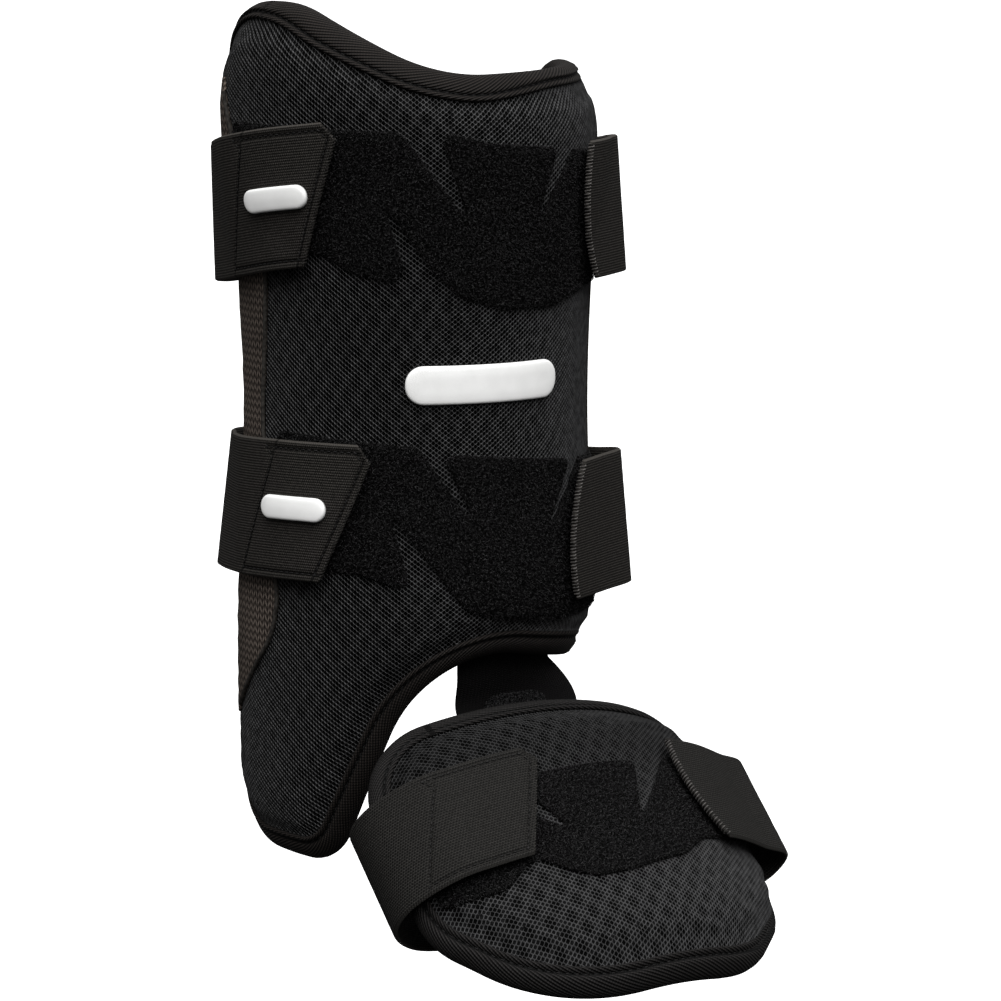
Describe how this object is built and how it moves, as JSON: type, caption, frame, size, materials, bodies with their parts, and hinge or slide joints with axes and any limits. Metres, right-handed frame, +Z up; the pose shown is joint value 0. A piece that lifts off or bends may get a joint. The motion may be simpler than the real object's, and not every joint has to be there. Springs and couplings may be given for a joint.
{
  "type": "batter's leg guard",
  "caption": "Padded leg guard for a batter: mesh-covered shin and foot pads joined by an elastic tongue, bound edges, loop patches and hook-ended elastic straps.",
  "frame": {"origin": "on the leg's axis at the height of the arch over the instep, where the leg sits in the guard", "axes": "+Z up along the leg, -Y to the front of the shin, +X to the viewer's right seen from the front"},
  "size_m": [0.1639, 0.2118, 0.3202],
  "materials": {
    "mesh": "black spacer mesh over foam",
    "tape": "black twill binding tape",
    "knit": "brown-black ribbed knit",
    "pile": "black loop pile",
    "webbing": "black ribbed elastic webbing",
    "hook": "black hook fastener",
    "badge": "satin white moulded rubber"
  },
  "bodies": {
    "root": {"shin_pad": "mesh", "shin_binding": "tape", "side_panel_left": "knit", "side_panel_right": "knit", "upper_loop_patch": "pile", "lower_loop_patch": "pile", "shin_badge": "badge", "upper_strap": "webbing", "upper_hook_left": "hook", "upper_hook_right": "hook", "upper_badge": "badge", "lower_strap": "webbing", "lower_hook_left": "hook", "lower_hook_right": "hook", "lower_badge": "badge", "tongue": "webbing", "tongue_loop_tab": "pile", "foot_pad": "mesh", "foot_binding": "tape", "foot_loop_patch": "pile", "foot_strap": "webbing", "foot_hook_left": "hook", "foot_hook_right": "hook"}
  },
  "joints": []
}
